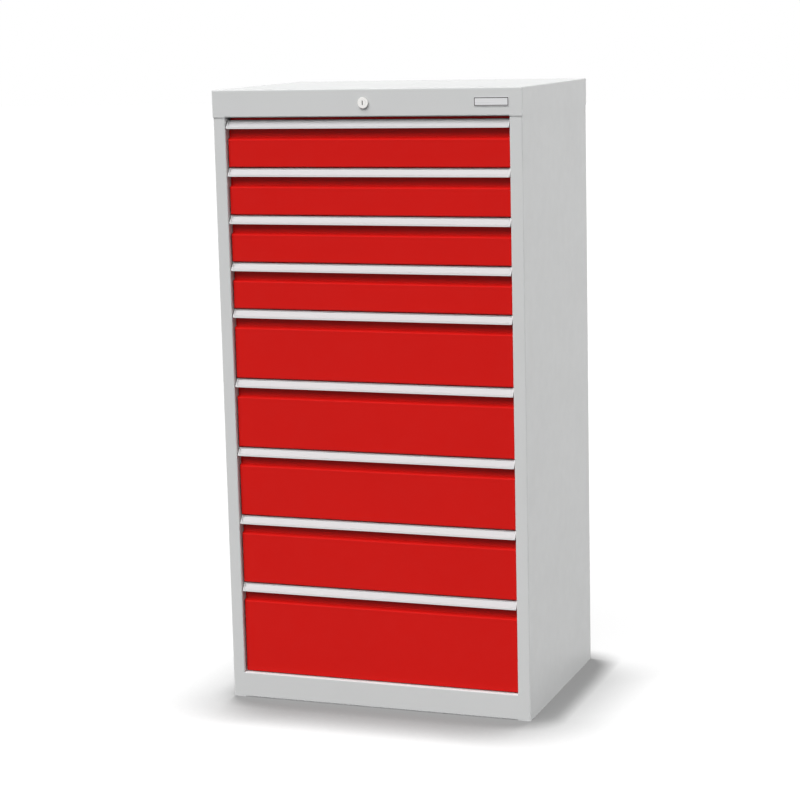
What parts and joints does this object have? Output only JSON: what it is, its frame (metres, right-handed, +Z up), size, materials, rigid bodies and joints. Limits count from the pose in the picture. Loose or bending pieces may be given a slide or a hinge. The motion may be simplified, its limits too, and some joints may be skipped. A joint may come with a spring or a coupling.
{
  "type": "multi-drawer cabinet",
  "caption": "Floor-standing sheet steel drawer cabinet with full-width grip strips, telescopic slides and one central lock that holds all its drawers.",
  "frame": {"origin": "middle of the footprint, on the floor", "axes": "+Z up, drawers open towards -Y, +X to the right of someone who faces the drawers"},
  "size_m": [0.681, 0.4896, 1.319],
  "materials": {
    "housing_paint": "satin",
    "front_paint": "satin",
    "tray_paint": "satin",
    "anodised_aluminium": "satin",
    "cap_plastic": "matte",
    "galvanised_steel": "satin",
    "nickel_plate": "polished",
    "badge_metal": "satin",
    "label_card": "satin",
    "badge_enamel": "gloss"
  },
  "bodies": {
    "cabinet": {"left_side_panel": "housing_paint", "right_side_panel": "housing_paint", "back_panel": "housing_paint", "base_pan": "housing_paint", "top_cover": "housing_paint", "uprights": "galvanised_steel", "cabinet_rails": "galvanised_steel", "lock_housing": "nickel_plate", "lock_nut": "galvanised_steel", "shaft_hanger": "galvanised_steel", "bar_guides": "galvanised_steel", "badge_plate": "badge_metal"},
    "lock": {"lock_plug": "nickel_plate", "lock_shaft": "galvanised_steel"},
    "locking_bar": {"locking_bar": "galvanised_steel"},
    "drawer_1": {"drawer_1_tray": "tray_paint", "drawer_1_front": "front_paint", "drawer_1_grip": "anodised_aluminium", "drawer_1_grip_caps": "cap_plastic"},
    "drawer_1_mid_rails": {"drawer_1_mid_rails": "galvanised_steel"},
    "drawer_2": {"drawer_2_tray": "tray_paint", "drawer_2_front": "front_paint", "drawer_2_grip": "anodised_aluminium", "drawer_2_grip_caps": "cap_plastic"},
    "drawer_2_mid_rails": {"drawer_2_mid_rails": "galvanised_steel"},
    "drawer_3": {"drawer_3_tray": "tray_paint", "drawer_3_front": "front_paint", "drawer_3_grip": "anodised_aluminium", "drawer_3_grip_caps": "cap_plastic"},
    "drawer_3_mid_rails": {"drawer_3_mid_rails": "galvanised_steel"},
    "drawer_4": {"drawer_4_tray": "tray_paint", "drawer_4_front": "front_paint", "drawer_4_grip": "anodised_aluminium", "drawer_4_grip_caps": "cap_plastic"},
    "drawer_4_mid_rails": {"drawer_4_mid_rails": "galvanised_steel"},
    "drawer_5": {"drawer_5_tray": "tray_paint", "drawer_5_front": "front_paint", "drawer_5_grip": "anodised_aluminium", "drawer_5_grip_caps": "cap_plastic"},
    "drawer_5_mid_rails": {"drawer_5_mid_rails": "galvanised_steel"},
    "drawer_6": {"drawer_6_tray": "tray_paint", "drawer_6_front": "front_paint", "drawer_6_grip": "anodised_aluminium", "drawer_6_grip_caps": "cap_plastic"},
    "drawer_6_mid_rails": {"drawer_6_mid_rails": "galvanised_steel"},
    "drawer_7": {"drawer_7_tray": "tray_paint", "drawer_7_front": "front_paint", "drawer_7_grip": "anodised_aluminium", "drawer_7_grip_caps": "cap_plastic"},
    "drawer_7_mid_rails": {"drawer_7_mid_rails": "galvanised_steel"},
    "drawer_8": {"drawer_8_tray": "tray_paint", "drawer_8_front": "front_paint", "drawer_8_grip": "anodised_aluminium", "drawer_8_grip_caps": "cap_plastic"},
    "drawer_8_mid_rails": {"drawer_8_mid_rails": "galvanised_steel"},
    "drawer_9": {"drawer_9_tray": "tray_paint", "drawer_9_front": "front_paint", "drawer_9_grip": "anodised_aluminium", "drawer_9_grip_caps": "cap_plastic"},
    "drawer_9_mid_rails": {"drawer_9_mid_rails": "galvanised_steel"}
  },
  "joints": [
    {"name": "lock_turn", "type": "hinge", "parent": "cabinet", "child": "lock", "pos_m": [0, 0, 1.29025], "axis": [0, 1, 0], "range_deg": [0, 90]},
    {"name": "bar_lift", "type": "slide", "parent": "cabinet", "child": "locking_bar", "axis": [0, 0, 1], "range_m": [0, 0.01697]},
    {"name": "drawer_1_slide", "type": "slide", "parent": "cabinet", "child": "drawer_1", "axis": [0, -1, 0], "range_m": [0, 0.4]},
    {"name": "drawer_1_mid_slide", "type": "slide", "parent": "cabinet", "child": "drawer_1_mid_rails", "axis": [0, -1, 0], "range_m": [0, 0.2]},
    {"name": "drawer_2_slide", "type": "slide", "parent": "cabinet", "child": "drawer_2", "axis": [0, -1, 0], "range_m": [0, 0.4]},
    {"name": "drawer_2_mid_slide", "type": "slide", "parent": "cabinet", "child": "drawer_2_mid_rails", "axis": [0, -1, 0], "range_m": [0, 0.2]},
    {"name": "drawer_3_slide", "type": "slide", "parent": "cabinet", "child": "drawer_3", "axis": [0, -1, 0], "range_m": [0, 0.4]},
    {"name": "drawer_3_mid_slide", "type": "slide", "parent": "cabinet", "child": "drawer_3_mid_rails", "axis": [0, -1, 0], "range_m": [0, 0.2]},
    {"name": "drawer_4_slide", "type": "slide", "parent": "cabinet", "child": "drawer_4", "axis": [0, -1, 0], "range_m": [0, 0.4]},
    {"name": "drawer_4_mid_slide", "type": "slide", "parent": "cabinet", "child": "drawer_4_mid_rails", "axis": [0, -1, 0], "range_m": [0, 0.2]},
    {"name": "drawer_5_slide", "type": "slide", "parent": "cabinet", "child": "drawer_5", "axis": [0, -1, 0], "range_m": [0, 0.4]},
    {"name": "drawer_5_mid_slide", "type": "slide", "parent": "cabinet", "child": "drawer_5_mid_rails", "axis": [0, -1, 0], "range_m": [0, 0.2]},
    {"name": "drawer_6_slide", "type": "slide", "parent": "cabinet", "child": "drawer_6", "axis": [0, -1, 0], "range_m": [0, 0.4]},
    {"name": "drawer_6_mid_slide", "type": "slide", "parent": "cabinet", "child": "drawer_6_mid_rails", "axis": [0, -1, 0], "range_m": [0, 0.2]},
    {"name": "drawer_7_slide", "type": "slide", "parent": "cabinet", "child": "drawer_7", "axis": [0, -1, 0], "range_m": [0, 0.4]},
    {"name": "drawer_7_mid_slide", "type": "slide", "parent": "cabinet", "child": "drawer_7_mid_rails", "axis": [0, -1, 0], "range_m": [0, 0.2]},
    {"name": "drawer_8_slide", "type": "slide", "parent": "cabinet", "child": "drawer_8", "axis": [0, -1, 0], "range_m": [0, 0.4]},
    {"name": "drawer_8_mid_slide", "type": "slide", "parent": "cabinet", "child": "drawer_8_mid_rails", "axis": [0, -1, 0], "range_m": [0, 0.2]},
    {"name": "drawer_9_slide", "type": "slide", "parent": "cabinet", "child": "drawer_9", "axis": [0, -1, 0], "range_m": [0, 0.4]},
    {"name": "drawer_9_mid_slide", "type": "slide", "parent": "cabinet", "child": "drawer_9_mid_rails", "axis": [0, -1, 0], "range_m": [0, 0.2]}
  ],
  "couplings": [
    {"joint": "lock_turn", "follows": "bar_lift", "rad_per_m": 92.557},
    {"joint": "drawer_1_mid_slide", "follows": "drawer_1_slide", "ratio": 0.5},
    {"joint": "drawer_2_mid_slide", "follows": "drawer_2_slide", "ratio": 0.5},
    {"joint": "drawer_3_mid_slide", "follows": "drawer_3_slide", "ratio": 0.5},
    {"joint": "drawer_4_mid_slide", "follows": "drawer_4_slide", "ratio": 0.5},
    {"joint": "drawer_5_mid_slide", "follows": "drawer_5_slide", "ratio": 0.5},
    {"joint": "drawer_6_mid_slide", "follows": "drawer_6_slide", "ratio": 0.5},
    {"joint": "drawer_7_mid_slide", "follows": "drawer_7_slide", "ratio": 0.5},
    {"joint": "drawer_8_mid_slide", "follows": "drawer_8_slide", "ratio": 0.5},
    {"joint": "drawer_9_mid_slide", "follows": "drawer_9_slide", "ratio": 0.5}
  ]
}
